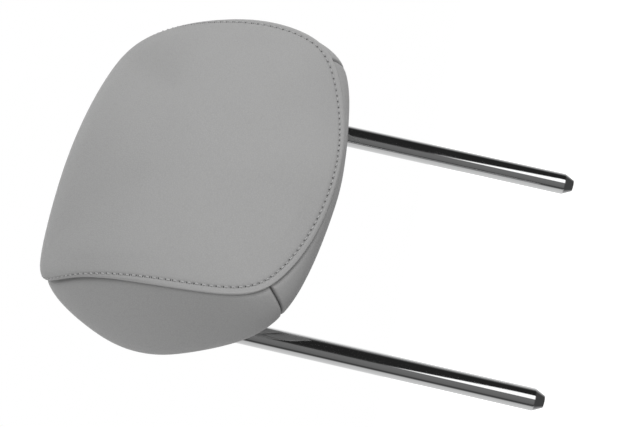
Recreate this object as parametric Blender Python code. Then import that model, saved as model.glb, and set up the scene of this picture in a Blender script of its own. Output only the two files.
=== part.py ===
"""Padded chair headrest on two chromed steel posts.

Units are metres and +Z is up. The origin lies midway between the free ends of the posts,
the posts run up along +Z into the pad, and the padded front faces -Y.
Left and right are as seen from the front: left is -X.
"""
import math

import bmesh
import bpy
import numpy as np

MM = 0.001

# Clearance between touching pieces
GAP = 0.3 * MM

# Posts and the bar that joins them
POST_SPACING = 160 * MM
POST_RADIUS = 7 * MM
POST_WALL = 2 * MM
POST_TOP = 264 * MM
TIP_RADIUS = 4 * MM
TIP_LENGTH = 6 * MM
TIP_FLOOR = 8 * MM
BAR_RADIUS = 6 * MM
BAR_HEIGHT = 254 * MM
ROUND_SEGMENTS = 32

# Plastic core that clamps the bar
CORE_HALF_WIDTH = 91 * MM
CORE_BOTTOM = 230 * MM
CORE_TOP = 278 * MM
CORE_FRONT = -13 * MM
CORE_REAR = 9.5 * MM
CORE_WALL = 2.5 * MM
CORE_CORNER = 12 * MM
RIB_PLACES = (-25 * MM, 25 * MM)
RIB_THICKNESS = 2.4 * MM
BOSS_RADIUS = 3.9 * MM
BOSS_PLACES = [(x * MM, z * MM) for z in (239.5, 268) for x in (-50, 50)]

# Self-tapping screws that close the core
SCREW_HEAD_RADIUS = 3.3 * MM
SCREW_HEAD_HEIGHT = 2.2 * MM
SCREW_RADIUS = 1.45 * MM
SCREW_LENGTH = 14.5 * MM
SCREW_HOLE_RADIUS = 1.8 * MM
SCREW_SEAT = 6.6 * MM

# Cover, bezels and the interlocking closure strips
LEATHER = 1.5 * MM
FOAM_GAP = 0.7 * MM
BEZEL_RADIUS = 10 * MM
BEZEL_BORE = 7.4 * MM
BEZEL_PROUD = 1.5 * MM
GROOVE_HALF_LENGTH = 47 * MM
GROOVE_SIDES = (-35.5 * MM, -25.5 * MM)
GROOVE_TOP = 183 * MM

# Outlines of the closure strips, (back, up) from the rear seam in millimetres
HOOK_OUTLINE = [
    (-4, 3.2), (-2.8, 3.2), (-2.8, 10.5), (-0.4, 10.5), (-0.4, 7.3), (0.8, 7.3), (0.8, 11.7), (-4, 11.7),
]
CATCH_OUTLINE = [
    (1.6, 3.2), (2.8, 3.2), (2.8, 5.9), (-1, 5.9), (-1, 9.9), (-2.2, 9.9), (-2.2, 4.7), (1.6, 4.7),
]

# Soft form of the pad. Each table holds eight stations from the middle of the bottom edge,
# up the right side, to the middle of the top; the left side mirrors them. Millimetres.
FRONT_SEAM = [
    (0, -71.5, 151.5), (41, -69.5, 156), (79.5, -73.5, 169.5), (95.5, -76.5, 192.5),
    (98, -73, 233.5), (92.5, -47.5, 285), (73.5, -12, 313), (0, -8.5, 313),
]
REAR_SEAM = [
    (0, -30, 163.5), (44, -29.5, 168), (84, -31, 181.5), (98.5, -4, 213.5),
    (102.5, 11, 237.5), (97, 18, 267), (68, 20, 288.5), (0, 22, 295),
]
# How far the front panel rounds out past its seam, sideways and forward
FRONT_ROUNDING = [
    (8, 5), (7.5, 3), (7.5, 1), (9, 1), (9.5, 2.5), (12, 8.5), (21, 22.5), (31.5, 41),
]
SIDE_BULGE = [10.5, 12.5, 18.5, 15, 12, 9, 7, 5.5]
REAR_ROUNDING = [30, 30, 22, 8, 4, 4, 4, 4]
FRONT_MIDDLE = (0, -84, 230.5)
BACK_MIDDLE = (0, 30, 255)
# How far each profile runs straight on from its ends before it turns, as a share of its length
FRONT_FLATNESS = 0.45
BACK_FLATNESS = 0.5
SIDE_FLATNESS = 0.3

# Mesh of the soft form
STATIONS = len(FRONT_SEAM)
PLACES_PER_STATION = 5
PLACES = (2 * STATIONS - 2) * PLACES_PER_STATION
FRONT_ROWS = 6
SIDE_ROWS = 5
BACK_ROWS = 4
BOTTOM_CORNER = 11
TOP_CORNER = 31
STRIP_PLACES = 5
CORNER_STEPS = 6

# Half the side of a block that holds the whole object
AROUND_ALL = 400 * MM


# ---------------------------------------------------------------- materials and objects

def material(name, colour, roughness, metallic=0.0):
    made = bpy.data.materials.new(name)
    made.use_nodes = True
    made.diffuse_color = (*colour, 1)
    shader = made.node_tree.nodes["Principled BSDF"]
    shader.inputs["Base Color"].default_value = (*colour, 1)
    shader.inputs["Roughness"].default_value = roughness
    shader.inputs["Metallic"].default_value = metallic
    return made


def finish_mesh(bm, name):
    """Turns a closed bmesh into a mesh whose faces point out."""
    bmesh.ops.recalc_face_normals(bm, faces=bm.faces)
    mesh = bpy.data.meshes.new(name)
    bm.to_mesh(mesh)
    bm.free()
    return mesh


def add_object(name, mesh, look=None, sharp_angle=None):
    obj = bpy.data.objects.new(name, mesh)
    bpy.context.scene.collection.objects.link(obj)
    if look is not None:
        mesh.materials.append(look)
    if sharp_angle is not None:
        mesh.shade_smooth()
        mesh.set_sharp_from_angle(angle=math.radians(sharp_angle))
    return obj


def combine(body, tool, operation, solver="EXACT"):
    """Applies one Boolean to body and removes the tool."""
    modifier = body.modifiers.new(operation.lower(), "BOOLEAN")
    modifier.operation = operation
    modifier.solver = solver
    modifier.object = tool
    graph = bpy.context.evaluated_depsgraph_get()
    result = bpy.data.meshes.new_from_object(body.evaluated_get(graph))
    body.modifiers.remove(modifier)
    body.data = result
    bpy.data.objects.remove(tool)


def cut(body, mesh, solver="EXACT"):
    combine(body, add_object("cutter", mesh), "DIFFERENCE", solver)


def join(body, mesh):
    combine(body, add_object("addition", mesh), "UNION")


# ---------------------------------------------------------------- simple solids

def turned(profile, segments=ROUND_SEGMENTS):
    """Turns (radius, height) points round Z; the outline closes on itself or on the axis."""
    bm = bmesh.new()
    rings = []
    for radius, height in profile:
        if radius == 0:
            rings.append([bm.verts.new((0, 0, height))])
            continue
        ring = []
        for i in range(segments):
            angle = 2 * math.pi * i / segments
            ring.append(bm.verts.new((radius * math.cos(angle), radius * math.sin(angle), height)))
        rings.append(ring)
    pairs = list(zip(rings, rings[1:]))
    if len(rings[0]) > 1:
        pairs.append((rings[-1], rings[0]))
    for low, high in pairs:
        for i in range(segments):
            j = (i + 1) % segments
            corners = [low[i % len(low)], low[j % len(low)], high[j % len(high)], high[i % len(high)]]
            bm.faces.new(list(dict.fromkeys(corners)))
    return bm


def place(bm, turn=None, offset=(0, 0, 0)):
    """Turns the solid from the Z axis onto X or Y, then moves it."""
    for vert in bm.verts:
        x, y, z = vert.co
        if turn == "X":
            vert.co = (z, x, y)
        if turn == "Y":
            vert.co = (x, z, -y)
    bmesh.ops.translate(bm, verts=bm.verts, vec=offset)
    return bm


def rod(radius, low, high, turn=None, offset=(0, 0, 0), segments=ROUND_SEGMENTS):
    bm = place(turned([(0, low), (radius, low), (radius, high), (0, high)], segments), turn, offset)
    return finish_mesh(bm, "rod")


def through(rings):
    """Closed mesh through rings of points that all have the same count."""
    bm = bmesh.new()
    rings = [[bm.verts.new(point) for point in ring] for ring in rings]
    count = len(rings[0])
    for low, high in zip(rings, rings[1:]):
        for i in range(count):
            j = (i + 1) % count
            bm.faces.new((low[i], low[j], high[j], high[i]))
    bm.faces.new(rings[0])
    bm.faces.new(rings[-1])
    return finish_mesh(bm, "through")


def extruded(outline, low, high):
    """Extrudes a closed outline of (x, z) points along Y."""
    return through([[(x, y, z) for x, z in outline] for y in (low, high)])


def box(x, y, z):
    """A block between the two values given for each axis."""
    return extruded([(x[0], z[0]), (x[1], z[0]), (x[1], z[1]), (x[0], z[1])], *y)


def core_outline(inset):
    """Rounded rectangle of the core, shrunk by inset, as (x, z) points."""
    radius = CORE_CORNER - inset
    across = CORE_HALF_WIDTH - CORE_CORNER
    middles = [
        (across, CORE_BOTTOM + CORE_CORNER), (across, CORE_TOP - CORE_CORNER),
        (-across, CORE_TOP - CORE_CORNER), (-across, CORE_BOTTOM + CORE_CORNER),
    ]
    points = []
    for quarter, (x, z) in enumerate(middles):
        for step in range(CORNER_STEPS + 1):
            angle = math.pi / 2 * (quarter - 1 + step / CORNER_STEPS)
            points.append((x + radius * math.cos(angle), z + radius * math.sin(angle)))
    return points


# ---------------------------------------------------------------- soft form of the pad

def closed_curve(stations, mirrored):
    """Smooth closed curve through mirrored stations, sampled at PLACES even steps."""
    half = np.array(stations, float).reshape(STATIONS, -1)
    other = half[1:-1][::-1].copy()
    if mirrored:
        other[:, 0] *= -1
    knots = np.vstack([half, other])
    count = len(knots)
    system = 4 * np.eye(count) + np.roll(np.eye(count), 1, 1) + np.roll(np.eye(count), -1, 1)
    slopes = np.linalg.solve(system, 3 * (np.roll(knots, -1, 0) - np.roll(knots, 1, 0)))
    places = np.arange(PLACES) / PLACES_PER_STATION
    first = places.astype(int)
    second = (first + 1) % count
    t = (places - first)[:, None]
    rise = t * t * (3 - 2 * t)
    return (
        knots[first] * (1 - rise) + knots[second] * rise
        + slopes[first] * t * (1 - t) ** 2 - slopes[second] * t * t * (1 - t)
    )


def bezier(a, b, c, d, t):
    return a * (1 - t) ** 3 + 3 * b * t * (1 - t) ** 2 + 3 * c * t * t * (1 - t) + d * t ** 3


def outward(points):
    """Unit vectors from the middle outwards, square to Y."""
    flat = points * (1, 0, 1)
    return flat / np.linalg.norm(flat, axis=1)[:, None]


def pad_rows():
    """Rings of points over the pad, from the front middle over both seams to the back middle."""
    seam = closed_curve(FRONT_SEAM, True)
    rear = closed_curve(REAR_SEAM, True)
    rounding = closed_curve(FRONT_ROUNDING, False)
    bulge = closed_curve(SIDE_BULGE, False)
    rear_round = closed_curve(REAR_ROUNDING, False)
    front_middle = np.array(FRONT_MIDDLE, float)
    back_middle = np.array(BACK_MIDDLE, float)
    backward = np.array((0, 1.0, 0))

    spread = outward(seam - front_middle)
    reach = (seam - front_middle) * (1, 0, 1)
    near_middle = front_middle + FRONT_FLATNESS * reach
    near_seam = seam + spread * rounding[:, :1] - backward * rounding[:, 1:]
    rows = [bezier(front_middle, near_middle, near_seam, seam, i / FRONT_ROWS)
            for i in range(FRONT_ROWS + 1)]
    rows[0] = front_middle[None, :]

    spread = outward((seam + rear) / 2 - (front_middle + back_middle) / 2)
    step = (rear - seam) * SIDE_FLATNESS
    rows += [bezier(seam, seam + step + spread * bulge, rear - step + spread * bulge, rear,
                    i / SIDE_ROWS) for i in range(1, SIDE_ROWS + 1)]

    near_middle = back_middle + BACK_FLATNESS * (rear - back_middle) * (1, 0, 1)
    rows += [bezier(rear, rear + backward * rear_round, near_middle, back_middle, i / BACK_ROWS)
             for i in range(1, BACK_ROWS)]
    rows.append(back_middle[None, :])
    return [row * MM for row in rows]


def pad_cells():
    """(row, place, vertex numbers) of each face between neighbouring rings."""
    last = FRONT_ROWS + SIDE_ROWS + BACK_ROWS
    cells = []
    for row in range(last):
        for place_ in range(PLACES):
            after = (place_ + 1) % PLACES
            low = 1 + (row - 1) * PLACES
            high = 1 + row * PLACES
            corners = [low + place_, low + after, high + after, high + place_]
            if row == 0:
                corners = [0, high + after, high + place_]
            if row == last - 1:
                corners = [low + place_, low + after, high]
            cells.append((row, place_, corners))
    return cells


def pad_bmesh():
    bm = bmesh.new()
    for row in pad_rows():
        for point in row:
            bm.verts.new(point)
    bm.verts.ensure_lookup_table()
    for _, _, corners in pad_cells():
        bm.faces.new([bm.verts[i] for i in corners])
    bmesh.ops.recalc_face_normals(bm, faces=bm.faces)
    bm.normal_update()
    return bm


def pad_points(depth):
    """The pad's points moved inwards by depth, with a mitre at the seams."""
    bm = pad_bmesh()
    points = [vert.co - vert.normal * depth * vert.calc_shell_factor() for vert in bm.verts]
    bm.free()
    return points


def pad_solid(depth):
    """The whole soft form as one closed mesh, shrunk by depth."""
    bm = pad_bmesh()
    for vert, point in zip(bm.verts, pad_points(depth)):
        vert.co = point
    return finish_mesh(bm, "pad")


def draw_in(rim, distance):
    """Moves the points of a panel's rim towards the panel."""
    moves = {}
    for vert in rim:
        middles = [face.calc_center_median() for face in vert.link_faces]
        target = sum(middles[1:], middles[0]) / len(middles)
        moves[vert] = (target - vert.co).normalized() * distance
    for vert, move in moves.items():
        vert.co += move


def panel(name, chosen, look):
    """A sheet of leather over the chosen cells, mitred to its neighbours."""
    outer = pad_points(0)
    inner = pad_points(LEATHER)
    cells = [corners for row, place_, corners in pad_cells() if chosen(row, place_)]
    used = sorted({i for corners in cells for i in corners})
    bm = bmesh.new()
    layers = []
    for points in (outer, inner):
        layer = {i: bm.verts.new(points[i]) for i in used}
        for corners in cells:
            bm.faces.new([layer[i] for i in corners])
        draw_in([vert for vert in layer.values() if vert.is_boundary], GAP)
        layers.append(layer)
    edges = {}
    for corners in cells:
        for a, b in zip(corners, corners[1:] + corners[:1]):
            edges[frozenset((a, b))] = edges.get(frozenset((a, b)), 0) + 1
    for pair, uses in edges.items():
        if uses == 1:
            a, b = pair
            bm.faces.new((layers[0][a], layers[0][b], layers[1][b], layers[1][a]))
    return add_object(name, finish_mesh(bm, name), look, 40)


# ---------------------------------------------------------------- the assembly

def make_post(name, side, look):
    profile = [
        (0, 0), (TIP_RADIUS - 0.3 * MM, 0), (TIP_RADIUS + 0.1 * MM, 0.4 * MM),
        (POST_RADIUS - 0.3 * MM, TIP_LENGTH - 0.8 * MM), (POST_RADIUS, TIP_LENGTH + 0.4 * MM),
        (POST_RADIUS, POST_TOP), (POST_RADIUS - POST_WALL, POST_TOP),
        (POST_RADIUS - POST_WALL, TIP_FLOOR), (0, TIP_FLOOR),
    ]
    obj = add_object(name, finish_mesh(turned(profile), name), look, 30)
    obj.location = (side * POST_SPACING / 2, 0, 0)


def make_crossbar(look):
    reach = POST_SPACING / 2
    bar = add_object("crossbar", rod(BAR_RADIUS, -reach, reach, "X", (0, 0, BAR_HEIGHT)), look)
    for side in (-1, 1):
        cut(bar, rod(POST_RADIUS + GAP, CORE_BOTTOM, CORE_TOP, None, (side * reach, 0, 0)))
    bar.data.shade_smooth()
    bar.data.set_sharp_from_angle(angle=math.radians(30))


def make_core_shell(name, face, look):
    """One half of the core: a tray with bosses and ribs that meets the other half at y = 0."""
    facing = math.copysign(1, face)
    meeting = facing * GAP / 2
    floor = face - facing * CORE_WALL
    beyond = -facing * CORE_WALL
    shell = add_object(name, extruded(core_outline(0), meeting, face), look)
    cut(shell, extruded(core_outline(CORE_WALL), beyond, floor))
    rib_floor = floor + facing * CORE_WALL / 2
    rib_edge = meeting + facing * GAP
    for x in RIB_PLACES:
        sides = (x - RIB_THICKNESS / 2, x + RIB_THICKNESS / 2)
        join(shell, box(sides, (rib_edge, rib_floor), (CORE_BOTTOM + 1 * MM, CORE_TOP - 1 * MM)))
    for x, z in BOSS_PLACES:
        join(shell, rod(BOSS_RADIUS, rib_edge, rib_floor, "Y", (x, 0, z)))
    # The exact solver leaves open edges where these small holes meet the bosses
    for x, z in BOSS_PLACES:
        if facing > 0:
            hole = rod(SCREW_HOLE_RADIUS, beyond, face + CORE_WALL, "Y", (x, 0, z))
            recess = rod(SCREW_HEAD_RADIUS + GAP, SCREW_SEAT, face + CORE_WALL, "Y", (x, 0, z))
            cut(shell, hole, "MANIFOLD")
            cut(shell, recess, "MANIFOLD")
        else:
            hole = rod(SCREW_HOLE_RADIUS, SCREW_SEAT - SCREW_LENGTH - GAP, beyond, "Y", (x, 0, z))
            cut(shell, hole, "MANIFOLD")
    reach = POST_SPACING / 2
    cut(shell, rod(BAR_RADIUS + GAP, -reach, reach, "X", (0, 0, BAR_HEIGHT)), "MANIFOLD")
    for side in (-1, 1):
        post = rod(POST_RADIUS + GAP, CORE_BOTTOM - CORE_WALL, POST_TOP, None, (side * reach, 0, 0))
        cut(shell, post, "MANIFOLD")


def make_screws(look):
    seat = SCREW_SEAT + GAP
    head = seat + SCREW_HEAD_HEIGHT
    profile = [
        (0, seat - SCREW_LENGTH), (SCREW_RADIUS * 0.4, seat - SCREW_LENGTH),
        (SCREW_RADIUS, seat - SCREW_LENGTH + 2 * MM), (SCREW_RADIUS, seat),
        (SCREW_HEAD_RADIUS, seat), (SCREW_HEAD_RADIUS, head - 0.8 * MM),
        (SCREW_HEAD_RADIUS - 1 * MM, head), (0, head),
    ]
    names = ("lower_left", "lower_right", "upper_left", "upper_right")
    for name, (x, z) in zip(names, BOSS_PLACES):
        bm = place(turned(profile), "Y")
        obj = add_object("core_screw_" + name, finish_mesh(bm, "core_screw"), look, 30)
        obj.location = (x, 0, z)


def bezel_hole(side):
    """The hole that a bezel needs, from below the pad to the core."""
    top = CORE_BOTTOM + CORE_CORNER
    return rod(BEZEL_RADIUS + GAP, 0, top, None, (side * POST_SPACING / 2, 0, 0))


def make_foam(name, facing, look):
    """Front or rear half of the foam, split through the posts, with a pocket for the core."""
    foam = add_object(name, pad_solid(LEATHER + FOAM_GAP))
    across = (-AROUND_ALL, AROUND_ALL)
    kept = sorted((facing * GAP / 2, facing * AROUND_ALL))
    combine(foam, add_object("half", box(across, kept, across)), "INTERSECT")
    cut(foam, extruded(core_outline(-GAP), CORE_FRONT - GAP, CORE_REAR + GAP))
    for side in (-1, 1):
        cut(foam, bezel_hole(side))
    if facing < 0:
        reach = GROOVE_HALF_LENGTH
        cut(foam, box((-reach, reach), GROOVE_SIDES, (0, GROOVE_TOP)))
    foam.data.materials.clear()
    foam.data.materials.append(look)


def make_bezel(name, side, look):
    """Sleeve round a post; its lower lip follows the pad's surface and stands proud of it."""
    top = CORE_BOTTOM - GAP
    x = side * POST_SPACING / 2
    bezel = add_object(name, rod(BEZEL_RADIUS, POST_RADIUS, top, None, (x, 0, 0)), look)
    combine(bezel, add_object("skin", pad_solid(-BEZEL_PROUD)), "INTERSECT")
    cut(bezel, rod(BEZEL_BORE, 0, CORE_TOP, None, (x, 0, 0)))


def make_closure_strips(look):
    """Two J-shaped strips that hook into each other along the edges of the bottom and back panels."""
    seam = pad_rows()[FRONT_ROWS + SIDE_ROWS]
    path = np.vstack([seam[-STRIP_PLACES:], seam[:STRIP_PLACES + 1]])
    for name, outline in (("closure_hook_strip", HOOK_OUTLINE), ("closure_catch_strip", CATCH_OUTLINE)):
        rings = [[(x, y + back * MM, z + up * MM) for back, up in outline] for x, y, z in path]
        add_object(name, through(rings), look)


def make_cover(look):
    """Five leather panels. The back panel also covers the underside and the top edge."""
    sides = range(FRONT_ROWS, FRONT_ROWS + SIDE_ROWS)

    def is_bottom(row, place_):
        return row in sides and not BOTTOM_CORNER <= place_ < PLACES - BOTTOM_CORNER

    def is_right(row, place_):
        return row in sides and BOTTOM_CORNER <= place_ < TOP_CORNER

    def is_left(row, place_):
        return row in sides and PLACES - TOP_CORNER <= place_ < PLACES - BOTTOM_CORNER

    def is_back(row, place_):
        if row in sides:
            return TOP_CORNER <= place_ < PLACES - TOP_CORNER
        return row >= FRONT_ROWS + SIDE_ROWS

    panel("cover_front_panel", lambda row, place_: row < FRONT_ROWS, look)
    panel("cover_bottom_strip", is_bottom, look)
    panel("cover_side_left", is_left, look)
    panel("cover_side_right", is_right, look)
    back = panel("cover_back_panel", is_back, look)
    for side in (-1, 1):
        cut(back, bezel_hole(side))


def main():
    for obj in list(bpy.data.objects):
        bpy.data.objects.remove(obj)
    chrome = material("chrome", (0.78, 0.79, 0.80), 0.08, 1.0)
    steel = material("bare_steel", (0.45, 0.46, 0.47), 0.4, 1.0)
    core_plastic = material("core_plastic", (0.03, 0.03, 0.032), 0.55)
    foam = material("foam", (0.72, 0.66, 0.45), 0.95)
    leather = material("grey_leather", (0.34, 0.34, 0.34), 0.5)
    trim = material("black_trim", (0.02, 0.02, 0.02), 0.4)
    for name, side in (("left", -1), ("right", 1)):
        make_post("post_" + name, side, chrome)
        make_bezel("post_bezel_" + name, side, trim)
    make_crossbar(steel)
    make_core_shell("core_front_shell", CORE_FRONT, core_plastic)
    make_core_shell("core_rear_shell", CORE_REAR, core_plastic)
    make_screws(steel)
    make_foam("foam_front", -1, foam)
    make_foam("foam_rear", 1, foam)
    make_closure_strips(core_plastic)
    make_cover(leather)


main()
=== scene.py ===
"""Looks of a padded chair headrest: sewn leather panels, topstitching, chromed posts and studio.

The frame's axes are used throughout: +Z runs up the posts into the pad and the padded front
faces -Y. Tables and sizes of the soft parts are in millimetres, and meshes are in metres.
"""
import math

import bpy
import numpy as np
from mathutils import Matrix, Vector, noise


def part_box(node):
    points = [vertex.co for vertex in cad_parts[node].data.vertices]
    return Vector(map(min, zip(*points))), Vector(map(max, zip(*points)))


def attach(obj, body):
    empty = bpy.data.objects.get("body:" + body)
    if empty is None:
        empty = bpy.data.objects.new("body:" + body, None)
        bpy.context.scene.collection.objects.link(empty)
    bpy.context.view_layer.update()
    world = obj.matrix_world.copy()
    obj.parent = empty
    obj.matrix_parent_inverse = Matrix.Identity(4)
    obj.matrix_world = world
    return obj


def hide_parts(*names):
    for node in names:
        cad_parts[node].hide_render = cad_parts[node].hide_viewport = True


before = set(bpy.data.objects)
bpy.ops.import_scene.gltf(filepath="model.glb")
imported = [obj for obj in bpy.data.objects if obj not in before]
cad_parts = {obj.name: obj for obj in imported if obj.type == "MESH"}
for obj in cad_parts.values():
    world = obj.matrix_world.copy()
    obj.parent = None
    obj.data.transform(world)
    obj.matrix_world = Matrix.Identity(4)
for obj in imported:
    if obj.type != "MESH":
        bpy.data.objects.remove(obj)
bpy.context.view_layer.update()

MM = 0.001
BACKWARD = np.array((0, 1.0, 0))

# ---------------------------------------------------------------- soft form of the pad
# Each table holds eight stations from the middle of the bottom edge, up the right side, to the
# middle of the top; the left side mirrors them.
FRONT_SEAM = [
    (0, -71.5, 151.5), (41, -69.5, 156), (78.7, -74.2, 170), (94.8, -78, 192.7),
    (97.5, -74.5, 233.5), (92.3, -48.6, 285), (73.5, -12, 313), (0, -8.5, 313),
]
REAR_SEAM = [
    (0, -30, 163.5), (44, -29.5, 168), (84, -31, 181.5), (98.5, -4, 213.5),
    (102.5, 11, 237.5), (97, 18, 267), (68, 20, 288.5), (0, 22, 295),
]
# How far the front panel rounds out past its seam, sideways and forward
FRONT_ROUNDING = [
    (8, 5), (7.5, 3), (7.5, 1), (9, 1), (9.5, 2.5), (12, 8.5), (21, 22.5), (31.5, 41),
]
SIDE_BULGE = [10.5, 12.5, 19.5, 17.6, 13.2, 9.5, 7, 5.5]
REAR_ROUNDING = [30, 30, 22, 8, 4, 4, 4, 4]
FRONT_MIDDLE = np.array((0, -84, 230.5))
BACK_MIDDLE = np.array((0, 30.0, 255))
FRONT_FLATNESS = 0.45
BACK_FLATNESS = 0.5
SIDE_FLATNESS = 0.3
# The front panel's middle is faired within these distances, from points out to this share of them
FAIRED_LOW = 30
FAIRED_HIGH = 52
FAIRED_REACH = 1.15
STATIONS = len(FRONT_SEAM)
ROUND = 2 * STATIONS - 2
BOTTOM_CORNER = 2.165
TOP_CORNER = 6.2
# The bottom corner seams lean towards the middle, up to this share of their length
CORNER_LEAN = 0.32
LEAN_LENGTH = 0.68

# A point inside the pad, which faces look away from
PAD_INSIDE = (0, -25, 235)

# ---------------------------------------------------------------- sewing
FRONT_THICKNESS = 1.7
PANEL_THICKNESS = 1.6
NOSE_STEPS = 6
FRONT_PLACES = 560
BACK_PLACES = 280

# The front panel's folded edge stops just short of the seam, and the side panels dive under it
LIP_SETBACK = 0.6
LIP_EDGE = FRONT_THICKNESS / 2 + LIP_SETBACK
LIP_RISE = 0.12
LIP_PLACE = 3.0
LIP_WIDTH = 1.2
TUCK = (2.1, 2.1)

# Grooves along the other seams: depth and half width
REAR_GROOVE = (1.3, 1.3)
CORNER_GROOVE = (1.6, 1.1)

STITCH_INSET = 4.9
STITCH_PITCH = 4.15
STITCH_DIP = 0.3
STITCH_DIP_WIDTH = 1.0
STITCH_PULL = 0.22
STITCH_PULL_WIDTH = 1.3
STITCH_LINE_WIDTH = 0.85
PUCKER_HEIGHT = 0.12
PUCKER_LENGTH = 9.5
PUCKER_REACH = 5

THREAD_RADIUS = 0.4
THREAD_SIDES = 9
THREAD_STEPS = 9
THREAD_PLIES = 3
THREAD_TWIST = 9.0
PLY_DEPTH = 0.13
# A stitch's height over the leather, how deep its ends dive, its slant and how far its ends thin
THREAD_CREST = 0.26
THREAD_DIVE = 1.1
THREAD_SWAY = 0.2
THREAD_TAPER = 0.25
# A ring's direction is measured over this run
DIRECTION_STEP = 0.8
# Where each stitch starts and ends, as shares of the pitch
STITCH_START = 0.14
STITCH_END = 0.86
HOLE_SIDES = 10
# Rings of a needle hole's dish: half length, half width and height over the leather
HOLE_RINGS = [(1.05, 0.85, -0.25), (0.92, 0.74, 0.14), (0.45, 0.35, 0.0)]

# Rows of points near a seam, as distances from it
FRONT_ROWS = [
    LIP_EDGE, 2.2, 2.8, 3.4, 4, 4.5, STITCH_INSET, 5.3, 5.9, 6.6, 7.6, 8.9, 10.5, 12.5, 15,
]
SEAM_ROWS = [0, 0.5, 1, 1.6, 2.3, 3.1, 4, 5.2, 7]
REAR_ROWS = [0, 0.5, 1, 1.6, 2.4, 3.5, 5]
CORNER_COLUMNS = [0, 0.018, 0.036, 0.058, 0.09, 0.13, 0.19]
ROW_SPACING = 2.0
BACK_SPACING = 2.5
COLUMN_SPACING = 0.06
# How far apart the back panel's places are on its seam, and how wide a band the seam's end affects
PLACE_WIDTH = 2.2
SEAM_BAND = 30
# Stands for a seam that a point is nowhere near
FAR = 40.0

# Cloth is held within this distance of a seam
SEWN_EDGE = 0.3
# How far a panel may rise, and the pressure behind it
FRONT_CROWN = (0.8, 450)
SIDE_CROWN = (1.0, 1300)
BACK_CROWN = (1.2, 450)
CLOTH_FRAMES = 20
CLOTH_STIFFNESS = 15
CROWN_FADE = 8
EVENING_ROUNDS = 12

# Unevenness of the leather: size and height
FRONT_CREASES = (34, 0.1)
SIDE_CREASES = (30, 0.25)
BACK_CREASES = (36, 0.3)

# Worn leather near the seams, and painted shade in the creases along the seams and the stitch line:
# strength and half width
LIP_WEAR = (1, 0.9)
SEAM_WEAR = (0.7, 1.0)
SEAM_WEAR_PLACE = 1.8
LINE_CREASE_SHADE = (0.1, 0.9)
CORNER_CREASE_SHADE = (1, 0.9)
REAR_CREASE_SHADE = (0.8, 0.9)


def curve(table, u, mirrored=False):
    """Points of the smooth closed curve through the mirrored stations, at the places u."""
    half = np.array(table, float).reshape(STATIONS, -1)
    other = half[1:-1][::-1].copy()
    if mirrored:
        other[:, 0] *= -1
    knots = np.vstack([half, other])
    system = 4 * np.eye(ROUND) + np.roll(np.eye(ROUND), 1, 1) + np.roll(np.eye(ROUND), -1, 1)
    slopes = np.linalg.solve(system, 3 * (np.roll(knots, -1, 0) - np.roll(knots, 1, 0)))
    whole = np.floor(u)
    first = whole.astype(int) % ROUND
    second = (first + 1) % ROUND
    t = (u - whole)[..., None]
    rise = t * t * (3 - 2 * t)
    return (
        knots[first] * (1 - rise) + knots[second] * rise
        + slopes[first] * t * (1 - t) ** 2 - slopes[second] * t * t * (1 - t)
    )


def bezier(a, b, c, d, t):
    t = t[..., None]
    return a * (1 - t) ** 3 + 3 * b * t * (1 - t) ** 2 + 3 * c * t * t * (1 - t) + d * t ** 3


def unit(vectors):
    return vectors / np.linalg.norm(vectors, axis=-1, keepdims=True)


def front_form(u, t):
    """The front panel from its seam (t = 0) to its middle (t = 1)."""
    seam = curve(FRONT_SEAM, u, True)
    rounding = curve(FRONT_ROUNDING, u)
    reach = (seam - FRONT_MIDDLE) * (1, 0, 1)
    near_seam = seam + unit(reach) * rounding[..., :1] - BACKWARD * rounding[..., 1:]
    near_middle = FRONT_MIDDLE + FRONT_FLATNESS * reach
    return bezier(seam, near_seam, near_middle, FRONT_MIDDLE, t)


def side_form(u, t):
    """The side and bottom panels from the front seam (t = 0) to the rear seam (t = 1)."""
    seam = curve(FRONT_SEAM, u, True)
    rear = curve(REAR_SEAM, u, True)
    middle = (FRONT_MIDDLE + BACK_MIDDLE) / 2
    spread = unit(((seam + rear) / 2 - middle) * (1, 0, 1)) * curve(SIDE_BULGE, u)
    step = (rear - seam) * SIDE_FLATNESS
    return bezier(seam, seam + step + spread, rear - step + spread, rear, t)


def leaning_side_form(u, t):
    """The side form, with its profiles drawn over so that they follow the bottom corner seams."""
    around = (u + ROUND / 2) % ROUND - ROUND / 2
    lean = CORNER_LEAN * (1 - (1 - np.minimum(t / LEAN_LENGTH, 1)) ** 2)
    far = np.abs(around)
    inside = far * (1 - lean / BOTTOM_CORNER)
    outside = far - lean * np.clip((TOP_CORNER - far) / (TOP_CORNER - BOTTOM_CORNER), 0, 1)
    return side_form(np.sign(around) * np.where(far <= BOTTOM_CORNER, inside, outside), t)


def back_form(u, t):
    """The back panel from the rear seam (t = 0) to its middle (t = 1)."""
    rear = curve(REAR_SEAM, u, True)
    near_seam = rear + BACKWARD * curve(REAR_ROUNDING, u)
    near_middle = BACK_MIDDLE + BACK_FLATNESS * (rear - BACK_MIDDLE) * (1, 0, 1)
    return bezier(rear, near_seam, near_middle, BACK_MIDDLE, t)


def on_profiles(form, u, wanted):
    """Points on the profiles at the places u, at the distances that wanted(total length) gives.

    Also returns those distances, and what is left of each profile beyond them.
    """
    dense = np.linspace(0, 1, 65)[:, None]
    steps = np.linalg.norm(np.diff(form(u[None] + 0 * dense, dense + 0 * u), axis=0), axis=2)
    run = np.vstack([np.zeros(len(u)), np.cumsum(steps, axis=0)])
    distance = wanted(run[-1])
    columns = [np.interp(distance[:, i], run[:, i], dense[:, 0]) for i in range(len(u))]
    return form(u[None] + 0 * distance, np.stack(columns, axis=1)), distance, run[-1] - distance


def spaced(first, last, spacing, total):
    """Row distances for each profile: fixed ones near both ends, even ones between."""
    even = max(2, round((total.max() - first[-1] - last[-1]) / spacing))
    share = np.linspace(0, 1, even + 1)[1:-1, None]
    start = np.array(first)[:, None] + 0 * total
    end = total - np.array(last)[::-1, None]
    return np.vstack([start, first[-1] + share * (total - last[-1] - first[-1]), end])


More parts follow.
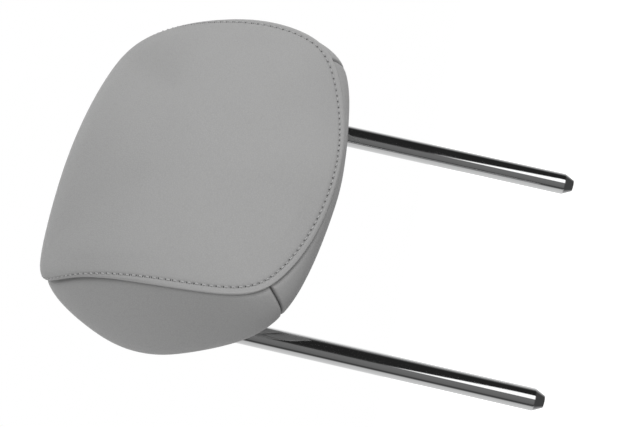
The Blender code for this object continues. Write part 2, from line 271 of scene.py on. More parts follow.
# ---------------------------------------------------------------- panels as point grids

def grid_faces(rows, columns, closed=False, base=0):
    """Faces of a grid of points, numbered row by row from base."""
    faces = []
    for i in range(rows - 1):
        low, high = base + i * columns, base + (i + 1) * columns
        for j in range(columns if closed else columns - 1):
            k = (j + 1) % columns
            faces.append((low + j, low + k, high + k, high + j))
    return faces


def tube_faces(rows, columns, base=0):
    """Faces of a tube with both ends closed, numbered ring by ring from base."""
    first = tuple(base + j for j in range(columns))
    last = tuple(base + (rows - 1) * columns + j for j in range(columns))
    return grid_faces(rows, columns, True, base) + [first[::-1], last]


def disc(form, places, edge_rows, spacing, share=0.5):
    """A round panel: rings from its edge inwards, then a square grid over its middle.

    Returns points, faces and each point's distance from the edge.
    """
    u = np.arange(places) * ROUND / places
    rings, distance, _ = on_profiles(
        form, u, lambda total: spaced(edge_rows, [0], spacing, total * (1 - share)))
    faces = grid_faces(len(rings), places, closed=True)
    start = (len(rings) - 1) * places
    side = places // 4
    numbers = {}
    inner = []
    for i in range(side + 1):
        for j in range(side + 1):
            a, b = 2 * i / side - 1, 2 * j / side - 1
            radius = max(abs(a), abs(b))
            if radius == 0:
                angle = 0
            elif abs(a) >= abs(b):
                angle = math.pi / 4 * b / a + (0 if a > 0 else math.pi)
            else:
                angle = math.pi / 2 - math.pi / 4 * a / b + (0 if b > 0 else math.pi)
            if i in (0, side) or j in (0, side):
                numbers[i, j] = start + round(angle / (2 * math.pi) * places) % places
            else:
                numbers[i, j] = start + places + len(inner)
                inner.append((angle / (2 * math.pi) * ROUND % ROUND, radius))
    for i in range(side):
        for j in range(side):
            corners = (i, j), (i + 1, j), (i + 1, j + 1), (i, j + 1)
            faces.append(tuple(numbers[corner] for corner in corners))
    inner = np.array(inner)
    middle, inner_distance, _ = on_profiles(
        form, inner[:, 0], lambda total: (total * (1 - share * inner[:, 1]))[None])
    points = np.vstack([rings.reshape(-1, 3), middle[0]])
    distance = np.concatenate([distance.ravel(), inner_distance[0]])
    return points, faces, distance


def fair_middle(points, low, high, degree=5):
    """Blends the height of a disc's middle into one smooth polynomial, so that no pole shows.

    Points nearer the middle than low (of the middle's X and Z) follow it fully, and points
    beyond high not at all.
    """
    middle_z = (points[:, 2].max() + points[:, 2].min()) / 2
    x, z = points[:, 0] / high, (points[:, 2] - middle_z) / high
    radius = np.hypot(x, z)
    terms = np.stack([x ** i * z ** j for i in range(degree + 1) for j in range(degree + 1 - i)], 1)
    near = radius < FAIRED_REACH
    answer = np.linalg.lstsq(terms[near], points[near, 1], rcond=None)[0]
    blend = np.clip((1 - radius) / (1 - low / high), 0, 1)
    blend = blend * blend * (3 - 2 * blend)
    points[:, 1] += blend * (terms @ answer - points[:, 1])


def make_mesh(name, points, faces):
    mesh = bpy.data.meshes.new(name)
    mesh.from_pydata((points * MM).tolist(), [], faces)
    mesh.update()
    return mesh


def normals_of(points, faces):
    mesh = make_mesh("measure", points, faces)
    normals = np.zeros(len(points) * 3)
    mesh.vertices.foreach_get("normal", normals)
    bpy.data.meshes.remove(mesh)
    return normals.reshape(-1, 3)


def facing_out(points, faces, first=0):
    """The faces, turned round if the points from the first one on look into the pad."""
    outwards = points[first:] - PAD_INSIDE
    if (normals_of(points, faces)[first:] * outwards).sum() < 0:
        return [face[::-1] for face in faces]
    return faces


def evened(values, faces, rounds):
    """The values at the points, averaged with their neighbours' the given number of times."""
    corners = np.array(faces)
    starts = corners.ravel()
    ends = np.roll(corners, -1, 1).ravel()
    counts = np.bincount(starts, minlength=len(values)) + np.bincount(ends, minlength=len(values))
    for _ in range(rounds):
        sums = (
            np.bincount(starts, values[ends], len(values))
            + np.bincount(ends, values[starts], len(values)))
        values = (values + sums / counts) / 2
    return values


def inflate(points, faces, from_edge, hold, crown):
    """Crowns a panel with a cloth simulation held within the distance hold of its sewn edge.

    Returns the panel's points, moved outwards by at most the crown's height.
    """
    most, pressure = crown
    sewn = from_edge < hold
    mesh = make_mesh("cloth", points, faces)
    obj = bpy.data.objects.new("cloth", mesh)
    bpy.context.scene.collection.objects.link(obj)
    group = obj.vertex_groups.new(name="sewn")
    group.add(np.nonzero(sewn)[0].tolist(), 1, "REPLACE")
    cloth = obj.modifiers.new("Cloth", "CLOTH")
    settings = cloth.settings
    settings.quality = 4
    settings.tension_stiffness = CLOTH_STIFFNESS
    settings.compression_stiffness = CLOTH_STIFFNESS
    settings.use_pressure = True
    settings.uniform_pressure_force = pressure
    settings.effector_weights.gravity = 0
    settings.vertex_group_mass = "sewn"
    cloth.collision_settings.use_collision = False
    scene = bpy.context.scene
    for step in range(1, CLOTH_FRAMES + 1):
        scene.frame_set(step)
    evaluated = obj.evaluated_get(bpy.context.evaluated_depsgraph_get())
    moved = np.zeros(len(points) * 3)
    evaluated.data.vertices.foreach_get("co", moved)
    moved = moved.reshape(-1, 3) / MM
    normals = normals_of(points, faces)
    rise = ((moved - points) * normals).sum(axis=1)
    rise = most * np.tanh(np.maximum(rise, 0) / most)
    near_edge = hollow(np.maximum(from_edge - hold, 0), 1, CROWN_FADE)
    rise = evened(rise * (1 - near_edge), faces, EVENING_ROUNDS)
    scene.frame_set(1)
    bpy.data.objects.remove(obj)
    bpy.data.meshes.remove(mesh)
    return points + normals * rise[:, None]


def creases(points, unevenness):
    """Slight unevenness of hand-pulled leather, as a height for each point."""
    size, height = unevenness
    return np.array([noise.noise(Vector(p) / size) for p in points]) * height


def add_piece(name, points, faces, look):
    """A smooth-shaded object with the given points in millimetres."""
    mesh = make_mesh(name, points, faces)
    mesh.shade_smooth()
    mesh.materials.append(look)
    piece = bpy.data.objects.new(name, mesh)
    bpy.context.scene.collection.objects.link(piece)
    return piece


def open_edges(faces):
    """The edges that only one face uses, in that face's direction and in a steady order."""
    edges = {}
    for face in faces:
        for a, b in zip(face, face[1:] + face[:1]):
            if (b, a) in edges:
                del edges[b, a]
            else:
                edges[a, b] = True
    return list(edges)


def thick_object(name, points, faces, thickness, attributes, look, steps=1):
    """A closed sheet under the given outer points, with a rim rounded in the given steps."""
    normals = normals_of(points, faces)
    edges = open_edges(faces)
    after = dict(edges)
    before = {b: a for a, b in edges}
    rim = sorted(after)
    ahead = points[[after[v] for v in rim]]
    behind = points[[before[v] for v in rim]]
    outwards = unit(np.cross(unit(ahead - behind), normals[rim]))
    middle = points[rim] - normals[rim] * thickness / 2
    count = len(points)
    layers = [points, points - normals * thickness]
    rows = [{v: v for v in rim}]
    for step in range(1, steps):
        angle = math.pi * step / steps
        turn = math.cos(angle) * normals[rim] + math.sin(angle) * outwards
        first = 2 * count + (step - 1) * len(rim)
        rows.append({v: first + i for i, v in enumerate(rim)})
        layers.append(middle + turn * thickness / 2)
    rows.append({v: count + v for v in rim})
    all_faces = list(faces) + [tuple(count + v for v in face[::-1]) for face in faces]
    for low, high in zip(rows, rows[1:]):
        all_faces += [(low[b], low[a], high[a], high[b]) for a, b in edges]
    piece = add_piece(name, np.vstack(layers), all_faces, look)
    for key, values in attributes.items():
        full = np.concatenate([values, values, np.tile(values[rim], steps - 1)])
        layer = piece.data.attributes.new(key, "FLOAT", "POINT")
        layer.data.foreach_set("value", full.astype(np.float32))
    return piece


def hollow(distance, depth, width):
    """How far a panel sinks at the given distance from a seam."""
    return depth * np.exp(-(distance / width) ** 2)


def sewn_along(ring):
    """Runs of a closed ring of points, from 0 at its first point, and the whole length."""
    steps = np.linalg.norm(np.roll(ring, -1, 0) - ring, axis=1)
    return np.concatenate([[0], np.cumsum(steps)[:-1]]), steps.sum()


def make_front(look, thread_look, hole_shade_look):
    """The front panel with its lip and topstitching, and needle holes coloured near black as
    painted shade.
    """
    points, faces, distance = disc(front_form, FRONT_PLACES, FRONT_ROWS, ROW_SPACING)
    faces = facing_out(points, faces)
    fair_middle(points, FAIRED_LOW, FAIRED_HIGH)
    points = inflate(points, faces, distance, LIP_EDGE + 0.1, FRONT_CROWN)
    normals = normals_of(points, faces)

    start = FRONT_ROWS.index(STITCH_INSET) * FRONT_PLACES
    stitch_line = slice(start, start + FRONT_PLACES)
    run, length = sewn_along(points[stitch_line])
    stitches = round(length / STITCH_PITCH)
    wave = np.zeros(len(points))
    near_seam = len(FRONT_ROWS) * FRONT_PLACES
    wave[:near_seam] = np.tile(np.cos(2 * math.pi * run / length * stitches), len(FRONT_ROWS))

    off_line = distance - STITCH_INSET
    lip = hollow(distance - LIP_PLACE, LIP_RISE, LIP_WIDTH)
    dip = hollow(off_line, STITCH_DIP, STITCH_DIP_WIDTH)
    pull = STITCH_PULL * (0.5 + 0.5 * wave) * hollow(off_line, 1, STITCH_PULL_WIDTH)
    points = points + normals * (lip - dip - pull + creases(points, FRONT_CREASES))[:, None]
    attributes = {
        "stitch_wave": wave * hollow(off_line, 1, STITCH_LINE_WIDTH),
        "edge_wear": hollow(distance - LIP_EDGE, *LIP_WEAR),
        # Painted shade along the crease of the stitch line
        "crease_shade": hollow(off_line, *LINE_CREASE_SHADE),
    }
    panel = thick_object(
        "leather_front_panel", points, faces, FRONT_THICKNESS, attributes, look, NOSE_STEPS)
    line, up = points[stitch_line], normals_of(points, faces)[stitch_line]
    stitching = make_stitches("topstitching_front", line, up, stitches, thread_look)
    # Near-black dishes at the needle holes, as painted shade
    holes = make_holes("needle_hole_shade_front", line, up, stitches, hole_shade_look)
    return panel, stitching, holes


def ring_at(ring, up, wanted):
    """Places, outward normals and directions on a closed ring, at the runs wanted."""
    run, length = sewn_along(ring)
    run = np.append(run, length)

    def between(values, places):
        return np.stack([
            np.interp(places % length, run, np.append(values[:, i], values[0, i])) for i in range(3)
        ], -1)

    place = between(ring, wanted)
    ahead = between(ring, wanted + DIRECTION_STEP)
    return place, unit(between(up, wanted)), unit(ahead - place)


def make_stitches(name, ring, up, count, look):
    """One twisted thread for each stitch; its ends dive into the needle holes."""
    pitch = sewn_along(ring)[1] / count
    share = np.linspace(STITCH_START, STITCH_END, THREAD_STEPS)
    ends = np.linspace(-1, 1, THREAD_STEPS)
    height = THREAD_CREST - THREAD_DIVE * np.abs(ends) ** 2.2
    radius = THREAD_RADIUS * (1 - THREAD_TAPER * ends ** 4)
    points, faces = [], []
    for stitch in range(count):
        place, normal, ahead = ring_at(ring, up, (stitch + share) * pitch)
        across = np.cross(ahead, normal)
        middle = place + normal * height[:, None] + across * THREAD_SWAY * ends[:, None]
        faces += tube_faces(THREAD_STEPS, THREAD_SIDES, len(points))
        for i in range(THREAD_STEPS):
            for j in range(THREAD_SIDES):
                angle = 2 * math.pi * j / THREAD_SIDES
                ply = 1 + PLY_DEPTH * math.cos(THREAD_PLIES * angle + THREAD_TWIST * share[i])
                spoke = math.cos(angle) * normal[i] + math.sin(angle) * across[i]
                points.append(middle[i] + spoke * radius[i] * ply)
    return add_piece(name, np.array(points), faces, look)


def make_holes(name, ring, up, count, look):
    """Shallow dishes in the leather where the needle went through, coloured near black as painted
    shade of the holes and their puckers.
    """
    pitch = sewn_along(ring)[1] / count
    place, normal, ahead = ring_at(ring, up, np.arange(count) * pitch)
    across = np.cross(ahead, normal)
    points, faces = [], []
    for i in range(count):
        faces += [face[::-1] for face in tube_faces(len(HOLE_RINGS), HOLE_SIDES, len(points))]
        for half_length, half_width, height in HOLE_RINGS:
            for j in range(HOLE_SIDES):
                angle = 2 * math.pi * j / HOLE_SIDES
                points.append(
                    place[i] + normal[i] * height + ahead[i] * math.cos(angle) * half_length
                    + across[i] * math.sin(angle) * half_width)
    return add_piece(name, np.array(points), faces, look)


def close_places(start, end):
    """Places from start to end, closer together at both ends."""
    ends = np.array(CORNER_COLUMNS)
    even = round((end - start) / COLUMN_SPACING)
    inner = np.linspace(start + ends[-1], end - ends[-1], even)[1:-1]
    return np.concatenate([start + ends, inner, end - ends[::-1]])


def along_rows(grid):
    """Each grid point's run along its row, and its distance from the row's nearer end."""
    steps = np.linalg.norm(np.diff(grid, axis=1), axis=2)
    along = np.hstack([np.zeros((len(grid), 1)), np.cumsum(steps, axis=1)])
    return along.ravel(), np.minimum(along, along[:, -1:] - along).ravel()


def sewn_panel(name, points, faces, seams, crown, unevenness, look, pucker=0):
    """A thick leather panel, from its points' distances to the front, rear and corner seams.

    It is crowned, passes under the front panel's edge and sinks along its other seams.
    """
    to_front, to_rear, to_corner = seams
    points = inflate(points, faces, np.min(seams, axis=0), SEWN_EDGE, crown)
    normals = normals_of(points, faces)
    tuck, rear = hollow(to_front, *TUCK), hollow(to_rear, *REAR_GROOVE)
    sunk = np.max([tuck, rear, hollow(to_corner, *CORNER_GROOVE)], axis=0)
    height = creases(points, unevenness) + pucker - sunk
    worn = np.minimum(to_corner, to_rear) - SEAM_WEAR_PLACE
    attributes = {
        "stitch_wave": np.zeros(len(points)),
        "edge_wear": hollow(worn, *SEAM_WEAR),
        # Painted shade in the creases along the corner and rear seams
        "crease_shade": np.maximum(hollow(to_corner, *CORNER_CREASE_SHADE), hollow(to_rear, *REAR_CREASE_SHADE)),
    }
    return thick_object(
        name, points + normals * height[:, None], faces, PANEL_THICKNESS, attributes, look)


def make_side(name, start, end, look):
    """A panel between the front and rear seams, from one corner seam to the other."""
    grid, from_front, from_rear = on_profiles(
        leaning_side_form, close_places(start, end),
        lambda total: spaced(SEAM_ROWS, REAR_ROWS, ROW_SPACING, total))
    along, to_corner = along_rows(grid)
    points = grid.reshape(-1, 3)
    faces = facing_out(points, grid_faces(*grid.shape[:2]))
    to_front, to_rear = from_front.ravel(), from_rear.ravel()
    wave = np.sin(along * 2 * math.pi / PUCKER_LENGTH)
    pucker = PUCKER_HEIGHT * wave * np.exp(-to_front / PUCKER_REACH)
    return sewn_panel(
        name, points, faces, (to_front, to_rear, to_corner), SIDE_CROWN, SIDE_CREASES, look, pucker)


def make_back(look):
    """The back panel with the strip that runs over the top edge to the front seam."""
    points, faces, to_rear = disc(back_form, BACK_PLACES, REAR_ROWS, BACK_SPACING)
    faces = facing_out(points, faces)
    per_station = BACK_PLACES // ROUND
    first = round(TOP_CORNER * per_station)
    last = BACK_PLACES - first
    strip, from_front, _ = on_profiles(
        side_form, np.arange(first, last + 1) / per_station,
        lambda total: spaced(SEAM_ROWS, [0], ROW_SPACING, total))
    # The strip's last row is the rear seam, where it runs on into the panel's edge
    strip, from_front = strip[:-1], from_front[:-1]
    base = len(points)
    rows, columns = strip.shape[:2]
    points = np.vstack([points, strip.reshape(-1, 3)])
    row = base + (rows - 1) * columns
    joined = grid_faces(rows, columns, base=base)
    joined += [(row + j, row + j + 1, first + j + 1, first + j) for j in range(columns - 1)]
    faces = faces + facing_out(points, joined, base)

    # Where the strip joins there is no rear seam, so its nearer end counts instead
    rings = base // BACK_PLACES
    place = np.full(base, -1)
    place[:BACK_PLACES * rings] = np.tile(np.arange(BACK_PLACES), rings)
    from_end = np.minimum(place - first, last - place)
    seamless = (from_end >= 0) & (to_rear < SEAM_BAND)
    to_seam = np.where(seamless, np.hypot(to_rear, from_end * PLACE_WIDTH), to_rear)
    on_panel, on_strip = np.full(base, FAR), np.full(len(points) - base, FAR)
    seams = (
        np.concatenate([on_panel, from_front.ravel()]),
        np.concatenate([to_seam, on_strip]),
        np.concatenate([on_panel, along_rows(strip)[1]]),
    )
    return sewn_panel(
        "leather_back_panel", points, faces, seams, BACK_CROWN, BACK_CREASES, look)


# ---------------------------------------------------------------- materials

class Nodes:
    """Adds and wires the nodes of one material or world."""

    def __init__(self, owner):
        owner.use_nodes = True
        self.tree = owner.node_tree
        self.tree.nodes.clear()

    def add(self, kind, inputs=None, **settings):
        node = self.tree.nodes.new(kind)
        for key, value in settings.items():
            setattr(node, key, value)
        for key, value in (inputs or {}).items():
            self.put(node.inputs[key], value)
        return node

    def put(self, socket, value):
        if isinstance(value, bpy.types.NodeSocket):
            self.tree.links.new(value, socket)
        else:
            socket.default_value = value

    def math(self, operation, *values):
        node = self.add("ShaderNodeMath", operation=operation)
        for socket, value in zip(node.inputs, values):
            self.put(socket, value)
        return node.outputs[0]

    def mix(self, factor, low, high):
        node = self.add("ShaderNodeMix", data_type="RGBA")
        self.put(node.inputs["Factor"], factor)
        self.put(node.inputs["A"], low)
        self.put(node.inputs["B"], high)
        return node.outputs["Result"]

    def remap(self, value, low, high, new_low, new_high, **settings):
        node = self.add("ShaderNodeMapRange", **settings)
        for key, entry in zip(("Value", "From Min", "From Max", "To Min", "To Max"),
                              (value, low, high, new_low, new_high)):
            self.put(node.inputs[key], entry)
        return node.outputs["Result"]

    def bump(self, height, strength, distance, normal=None):
        inputs = {"Height": height, "Strength": strength, "Distance": distance}
        if normal is not None:
            inputs["Normal"] = normal
        return self.add("ShaderNodeBump", inputs).outputs["Normal"]

    def attribute(self, name):
        return self.add("ShaderNodeAttribute", attribute_name=name).outputs["Fac"]

    def noise(self, vector, scale, detail=2.0, roughness=0.5):
        return self.add("ShaderNodeTexNoise", {
            "Vector": vector, "Scale": scale, "Detail": detail, "Roughness": roughness,
        }).outputs["Fac"]

    def shader(self, **inputs):
        shader = self.add("ShaderNodeBsdfPrincipled")
        for key, value in inputs.items():
            self.put(shader.inputs[key.replace("_", " ")], value)
        self.add("ShaderNodeOutputMaterial", {"Surface": shader.outputs[0]})


def grey(level, warmth=0.0):
    return (level * (1 + warmth), level, level * (1 - warmth), 1)


# Scales are features to the metre, and bump heights are in metres
WARP_SCALE = 160.0
WARP_REACH = 0.0012
GRAIN_SCALE = 780.0
GRAIN_HEIGHT = 0.00011
FINE_SCALE = 2600.0
MOTTLE_SCALE = 22.0
CLOUD_SCALE = 7.0
HOLE_DEPTH = 0.0005
FIBRE_SCALE = 3200.0
FIBRE_HEIGHT = 0.00012
POLISH_SCALE = 2400.0
POLISH_HEIGHT = 0.00002
MOULDED_SCALE = 900.0
MOULDED_HEIGHT = 0.0001


def leather_material():
    """Mid-grey smooth leather: fine pebbled grain, soft mottling and worn lips, with painted shade
    in the seam creases and round the needle holes.
    """
    made = bpy.data.materials.new("grey_leather_grain")
    n = Nodes(made)
    place = n.add("ShaderNodeTexCoord").outputs["Object"]
    warp = n.add("ShaderNodeTexNoise", {"Vector": place, "Scale": WARP_SCALE, "Detail": 1.0})
    warped = n.add("ShaderNodeVectorMath", operation="MULTIPLY_ADD")
    n.put(warped.inputs[0], warp.outputs["Color"])
    n.put(warped.inputs[1], (WARP_REACH, WARP_REACH, WARP_REACH))
    n.put(warped.inputs[2], place)
    cells = n.add("ShaderNodeTexVoronoi", {"Vector": warped.outputs[0], "Scale": GRAIN_SCALE},
                  feature="DISTANCE_TO_EDGE").outputs["Distance"]
    pebble = n.remap(cells, 0.0, 0.22, 0.0, 1.0, interpolation_type="SMOOTHSTEP")
    fine = n.noise(place, FINE_SCALE, 2.0)
    mottle = n.noise(place, MOTTLE_SCALE, 3.0, 0.55)
    cloud = n.noise(place, CLOUD_SCALE, 1.0)

    # Where the needle holes are: a dent in the bump, and painted shade in the colour
    hole_dent_and_shade = n.math("POWER", n.math("MAXIMUM", n.attribute("stitch_wave"), 0.0), 2.0)

    tone = n.remap(mottle, 0.3, 0.7, 0.0, 1.0)
    colour = n.mix(tone, grey(0.316, 0.003), grey(0.324, 0.003))
    colour = n.mix(n.remap(cloud, 0.35, 0.65, 0.0, 0.35), colour, grey(0.316, -0.003))
    colour = n.mix(n.remap(pebble, 0.0, 1.0, 0.16, 0.0), colour, grey(0.17))
    colour = n.mix(n.math("MULTIPLY", n.attribute("edge_wear"), 0.22), colour, grey(0.46, 0.01))
    # Painted shade: darker in the creases along the seams and the stitch line
    colour = n.mix(n.math("MULTIPLY", n.attribute("crease_shade"), 0.75), colour, grey(0.07))
    # Painted shade of the puckers round each needle hole
    colour = n.mix(n.math("MULTIPLY", hole_dent_and_shade, 0.55), colour, grey(0.09))

    rough = n.remap(mottle, 0.3, 0.7, 0.44, 0.50)
    rough = n.math("ADD", rough, n.remap(pebble, 0.0, 1.0, 0.12, 0.0))
    rough = n.math("SUBTRACT", rough, n.math("MULTIPLY", n.attribute("edge_wear"), 0.06))
    height = n.math("ADD", pebble, n.math("MULTIPLY", fine, 0.35))
    normal = n.bump(height, 0.30, GRAIN_HEIGHT)
    normal = n.bump(n.math("MULTIPLY", hole_dent_and_shade, -1.0), 0.5, HOLE_DEPTH, normal)
    n.shader(Base_Color=colour, Roughness=rough, Normal=normal, IOR=1.46, Sheen_Weight=0.08,
             Sheen_Roughness=0.5)
    return made


def thread_material():
    made = bpy.data.materials.new("grey_thread")
    n = Nodes(made)
    place = n.add("ShaderNodeTexCoord").outputs["Object"]
    fibre = n.noise(place, FIBRE_SCALE, 3.0)
    colour = n.mix(fibre, grey(0.31), grey(0.44))
    normal = n.bump(fibre, 0.4, FIBRE_HEIGHT)
    n.shader(Base_Color=colour, Roughness=n.remap(fibre, 0.3, 0.7, 0.5, 0.7), Normal=normal,
             Sheen_Weight=0.25)
    return made


def hole_shade_material():
    made = bpy.data.materials.new("needle_hole_painted_shade")
    n = Nodes(made)
    place = n.add("ShaderNodeTexCoord").outputs["Object"]
    speck = n.noise(place, 1800.0)
    # Painted shade: near black, standing for the shadow in the needle holes and their puckers
    n.shader(Base_Color=n.mix(speck, grey(0.012), grey(0.035)), Roughness=0.9)
    return made


def chrome_material():
    """Polished chrome plate with faint lengthwise polishing lines."""
    made = bpy.data.materials.new("polished_chrome")
    n = Nodes(made)
    place = n.add("ShaderNodeTexCoord").outputs["Object"]
    stretched = n.add("ShaderNodeMapping", {"Vector": place, "Scale": (1.0, 1.0, 0.02)})
    lines = n.noise(stretched.outputs[0], POLISH_SCALE, 2.0)
    smudge = n.noise(place, 30.0, 3.0)
    rough = n.math(
        "ADD", n.remap(lines, 0.4, 0.8, 0.035, 0.07), n.remap(smudge, 0.5, 0.8, 0.0, 0.05))
    colour = n.mix(n.remap(smudge, 0.45, 0.75, 0.0, 0.5), grey(0.82, -0.004), grey(0.76, -0.004))
    normal = n.bump(lines, 0.02, POLISH_HEIGHT)
    n.shader(Base_Color=colour, Metallic=1.0, Roughness=rough, Normal=normal)
    return made


def plain_material(name, level, roughness, metallic=0.0):
    """A moulded or plated finish with a fine texture and small changes of gloss."""
    made = bpy.data.materials.new(name)
    n = Nodes(made)
    place = n.add("ShaderNodeTexCoord").outputs["Object"]
    speckle = n.noise(place, MOULDED_SCALE, 3.0)
    low = grey(level)
    high = tuple(min(1.0, c * 1.35) for c in low[:3]) + (1,)
    n.shader(
        Base_Color=n.mix(speckle, low, high), Metallic=metallic,
        Roughness=n.remap(speckle, 0.3, 0.7, roughness - 0.06, roughness + 0.08),
        Normal=n.bump(speckle, 0.2, MOULDED_HEIGHT))
    return made


# ---------------------------------------------------------------- the pad

leather = leather_material()
thread = thread_material()
# Near-black look for the needle holes: painted shade
painted_hole_shade = hole_shade_material()

front, stitching, holes = make_front(leather, thread, painted_hole_shade)
side_right = make_side("leather_side_right", BOTTOM_CORNER, TOP_CORNER, leather)
side_left = make_side("leather_side_left", ROUND - TOP_CORNER, ROUND - BOTTOM_CORNER, leather)
bottom = make_side("leather_bottom_strip", -BOTTOM_CORNER, BOTTOM_CORNER, leather)
back = make_back(leather)

for piece, nodes in (
    (front, ("cover_front_panel", "foam_front")),
    (side_right, ("cover_side_right",)),
    (side_left, ("cover_side_left",)),
    (bottom, ("cover_bottom_strip",)),
    (back, ("cover_back_panel", "foam_rear")),
):
    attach(piece, "root")
    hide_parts(*nodes)
for piece in (stitching, holes):
    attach(piece, "root")

# ---------------------------------------------------------------- posts

POST_RADIUS = 7.0
POST_WALL = 2.0
TIP_FACE = 3.8
TIP_LENGTH = 6.2
TIP_FILLET = 0.9
TAPER_FILLET = 2.7
RIM_FILLET = 0.5
BORE_FILLET = 0.4
# Both ends close in a small flat face; the bore ends in a shallow cone
END_FACE = 0.6
TIP_FLAT = 1.8
BORE_END = 10
BORE_TIP = 8.6
RING_SPACING = 6
POST_SIDES = 128


def fillet(before, corner, after, radius, steps=6):
    """Points of an arc that rounds one corner of an outline."""
    corner = np.array(corner)
    back, ahead = unit(np.array(before) - corner), unit(np.array(after) - corner)
    half = math.acos(float(back @ ahead)) / 2
    middle = corner + unit(back + ahead) * radius / math.sin(half)
    start = corner + back * radius / math.tan(half) - middle
    end = corner + ahead * radius / math.tan(half) - middle
    share = np.linspace(0, 1, steps)[:, None]
    return [tuple(middle + unit(start * (1 - k) + end * k) * radius) for k in share]


def make_post(side, look):
    """A chromed tube with a softly rounded tapered end, over the CAD post's place."""
    name = "post_left" if side < 0 else "post_right"
    low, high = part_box(name)
    top = high.z / MM
    centre = (low.x + high.x) / 2 / MM
    taper_start, taper_end = (TIP_FACE, 0), (POST_RADIUS, TIP_LENGTH)
    bore = POST_RADIUS - POST_WALL
    outline = [(END_FACE, 0), (TIP_FLAT, 0)]
    outline += fillet((0, 0), taper_start, taper_end, TIP_FILLET)
    outline += fillet(taper_start, taper_end, (POST_RADIUS, top), TAPER_FILLET)
    heights = np.arange(TIP_LENGTH + RING_SPACING, top - RING_SPACING, RING_SPACING)
    outline += [(POST_RADIUS, z) for z in heights]
    outline += fillet((POST_RADIUS, 0), (POST_RADIUS, top), (0, top), RIM_FILLET)
    outline += fillet((POST_RADIUS, top), (bore, top), (bore, 0), BORE_FILLET)
    outline += [(bore, BORE_END), (END_FACE, BORE_TIP)]
    angles = np.arange(POST_SIDES) * 2 * math.pi / POST_SIDES
    points = [(centre + r * math.cos(a), r * math.sin(a), z) for r, z in outline for a in angles]
    faces = tube_faces(len(outline), POST_SIDES)
    post = add_piece("chromed_" + name, np.array(points), faces, look)
    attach(post, "root")
    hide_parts(name)


chrome = chrome_material()
for side in (-1, 1):
    make_post(side, chrome)

# ---------------------------------------------------------------- CAD nodes that stay

FINISHES = {
    "post_bezel_left": plain_material("satin_black_trim", 0.018, 0.42),
    "crossbar": plain_material("zinc_plated_steel", 0.45, 0.38, 1.0),
    "core_front_shell": plain_material("moulded_core_plastic", 0.028, 0.5),
}
FINISHES["post_bezel_right"] = FINISHES["post_bezel_left"]
FINISHES["core_rear_shell"] = FINISHES["core_front_shell"]
FINISHES["closure_hook_strip"] = FINISHES["core_front_shell"]
FINISHES["closure_catch_strip"] = FINISHES["core_front_shell"]
for place in ("lower_left", "lower_right", "upper_left", "upper_right"):
    FINISHES["core_screw_" + place] = FINISHES["crossbar"]
for name, finish in FINISHES.items():
    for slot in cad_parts[name].material_slots:
        slot.material = finish

# ---------------------------------------------------------------- studio

WHITE = (1, 1, 1, 1)
# Brightness by direction, in degrees round the posts from the one that faces the camera
FACING_AZIMUTH = -121.3
CARD_EDGES = [
    (-180, 0.85), (-100, 0.62), (-78, 0.58), (-66, 0.07), (-54, 0.05), (-44, 0.14), (-8, 0.17),
    (4, 0.16), (10, 0.035), (24, 0.018), (90, 0.018), (104, 0.08), (118, 0.38), (132, 0.68),
    (150, 0.92), (180, 1.0),
]
# A bright strip below the horizon: its brightness, the directions where it fades in, and the
# direction where it ends, which runs with the height to a limit
STRIP_LEVEL = 1.3
STRIP_START = (6.0, 11.0)
STRIP_FADE = (-2.0, 4.0)
STRIP_HEIGHT = -0.012
STRIP_SLOPE = -400.0
STRIP_LIMIT = 46.0
# Far below the horizon the cards darken to this level
BELOW_LEVEL = 0.06
BELOW_FADE = (-0.75, -0.3)
# Soft light on the surfaces, brightest from one direction
KEY_DIRECTION = (0.10, -0.98, 0.05)
AMBIENT_LOW = 0.24
AMBIENT_HIGH = 1.25
AMBIENT_FALL = 1.5


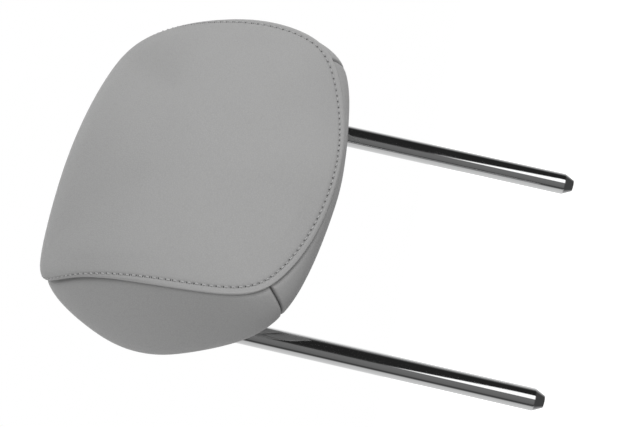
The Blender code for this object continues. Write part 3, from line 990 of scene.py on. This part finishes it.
def studio_world():
    """White behind the object, soft light on its surfaces, and cards that the chrome mirrors."""
    world = bpy.data.worlds.new("studio")
    bpy.context.scene.world = world
    n = Nodes(world)
    direction = n.add("ShaderNodeTexCoord").outputs["Generated"]
    parts = n.add("ShaderNodeSeparateXYZ", {"Vector": direction}).outputs
    azimuth = n.math("ARCTAN2", parts["Y"], parts["X"])
    turn = n.math("SUBTRACT", azimuth, math.radians(FACING_AZIMUTH) - math.pi)
    share = n.math("FRACT", n.math("ADD", n.math("DIVIDE", turn, 2 * math.pi), 1.0))
    ramp = n.add("ShaderNodeValToRGB", {"Fac": share})
    stops = ramp.color_ramp.elements
    stops[0].color = grey(CARD_EDGES[0][1])
    stops[1].color = grey(CARD_EDGES[-1][1])
    for angle, level in CARD_EDGES[1:-1]:
        stops.new((angle + 180) / 360).color = grey(level)

    height = parts["Z"]
    offset = n.math("MULTIPLY", n.math("SUBTRACT", share, 0.5), 360.0)
    reach = n.math("MULTIPLY", n.math("SUBTRACT", height, STRIP_HEIGHT), STRIP_SLOPE)
    reach = n.math("MINIMUM", reach, STRIP_LIMIT)
    strip_end = n.remap(n.math("SUBTRACT", reach, offset), *STRIP_FADE, 0.0, 1.0)
    strip_start = n.remap(offset, *STRIP_START, 0.0, 1.0)
    strip = n.math("MULTIPLY", strip_end, strip_start)
    cards = n.mix(strip, ramp.outputs["Color"], grey(STRIP_LEVEL))
    cards = n.mix(n.remap(height, *BELOW_FADE, 1.0, 0.0), cards, grey(BELOW_LEVEL))

    key = n.add("ShaderNodeVectorMath", operation="DOT_PRODUCT")
    n.put(key.inputs[0], direction)
    n.put(key.inputs[1], KEY_DIRECTION)
    towards_key = n.math("POWER", n.remap(key.outputs["Value"], -1.0, 1.0, 0.0, 1.0), AMBIENT_FALL)
    soft = n.remap(towards_key, 0.0, 1.0, AMBIENT_LOW, AMBIENT_HIGH)

    rays = n.add("ShaderNodeLightPath").outputs
    mirrored = n.add("ShaderNodeBackground", {"Color": cards})
    lighting = n.add("ShaderNodeBackground", {"Color": WHITE, "Strength": soft})
    behind = n.add("ShaderNodeBackground", {"Color": WHITE, "Strength": 1.0})
    first = n.add("ShaderNodeMixShader", {"Fac": rays["Is Glossy Ray"]})
    n.put(first.inputs[1], lighting.outputs[0])
    n.put(first.inputs[2], mirrored.outputs[0])
    second = n.add("ShaderNodeMixShader", {"Fac": rays["Is Camera Ray"]})
    n.put(second.inputs[1], first.outputs[0])
    n.put(second.inputs[2], behind.outputs[0])
    n.add("ShaderNodeOutputWorld", {"Surface": second.outputs[0]})


studio_world()

# Camera: its place and axes in the frame
EYE = Vector((-0.42252, -0.72151, 0.12080))
AXES = Matrix((
    (0.21053216, 0.82879078, -0.51844195),
    (-0.07523763, -0.51501840, -0.85387080),
    (-0.97468739, 0.21877361, -0.04607168),
))
camera_data = bpy.data.cameras.new("camera")
camera_data.sensor_width = 36
camera_data.lens = 73.125
camera_data.clip_start = 0.01
camera = bpy.data.objects.new("camera", camera_data)
camera.matrix_world = Matrix.Translation(EYE) @ AXES.to_4x4()
bpy.context.scene.collection.objects.link(camera)
bpy.context.scene.camera = camera
bpy.context.scene.view_settings.view_transform = "Standard"

PAD_MIDDLE = Vector((0, -0.03, 0.2))
PANEL_DISTANCE = 1.3


def soft_panel(name, direction, size, energy):
    """A square panel light that shines on the pad from the given direction."""
    data = bpy.data.lights.new(name, "AREA")
    data.size = size
    data.energy = energy
    light = bpy.data.objects.new(name, data)
    towards = Vector(direction).normalized()
    light.location = PAD_MIDDLE + towards * PANEL_DISTANCE
    light.rotation_euler = (-towards).to_track_quat("-Z", "Y").to_euler()
    light.visible_glossy = False
    bpy.context.scene.collection.objects.link(light)


soft_panel("key_panel", (0.56, -0.83, -0.02), 0.8, 7.4)
soft_panel("fill_panel", (-0.66, 0.55, 0.51), 0.8, 3.2)
soft_panel("rear_panel", (0.35, 0.80, 0.45), 0.9, 7)

FLOOR_SIZE = 3.0
FLOOR_GLOW = 0.72


def floor_material():
    """Pale and glowing a little, so that it stays near white under the object."""
    made = bpy.data.materials.new("pale_floor")
    n = Nodes(made)
    place = n.add("ShaderNodeTexCoord").outputs["Object"]
    n.shader(Base_Color=n.mix(n.noise(place, 3.0), grey(0.78), grey(0.8)), Roughness=0.9,
             Emission_Color=WHITE, Emission_Strength=FLOOR_GLOW)
    return made


floor_mesh = bpy.data.meshes.new("floor")
corners = [(-1, -1), (1, -1), (1, 1), (-1, 1)]
floor_mesh.from_pydata(
    [(FLOOR_SIZE * x, FLOOR_SIZE * y, 0) for x, y in corners], [], [(0, 1, 2, 3)])
floor_mesh.materials.append(floor_material())
floor = bpy.data.objects.new("floor", floor_mesh)
floor.visible_glossy = False
floor.visible_diffuse = False
bpy.context.scene.collection.objects.link(floor)
